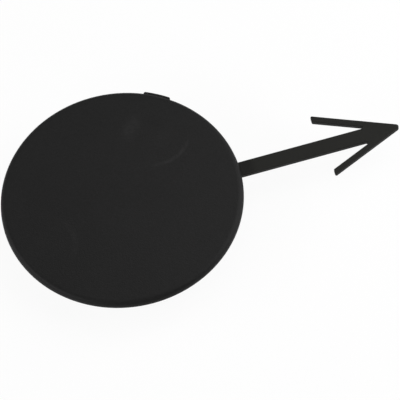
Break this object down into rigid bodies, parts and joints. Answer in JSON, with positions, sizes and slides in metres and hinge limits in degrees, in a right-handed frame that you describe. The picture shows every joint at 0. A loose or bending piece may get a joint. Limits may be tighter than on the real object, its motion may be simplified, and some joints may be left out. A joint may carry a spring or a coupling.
{
  "type": "bumper tow hook cover",
  "caption": "Round crowned clip-in cover for a bumper's towing eye opening, with snap legs, a locating collar and a flat arrow-headed retaining strap.",
  "frame": {"origin": "on the cover's round axis, in the plane of the rim's flat back edge, where the outside of the bumper skin lies", "axes": "+Z out of the visible face, +Y through the lug on the rim, and the strap leaves at 31.85 degrees from +X towards +Y"},
  "size_m": [0.1143, 0.0858, 0.0128],
  "materials": {
    "black_plastic": "unpainted black moulded plastic, satin, with a very fine even grain"
  },
  "bodies": {
    "root": {"tow_hook_cover": "black_plastic"}
  },
  "joints": []
}
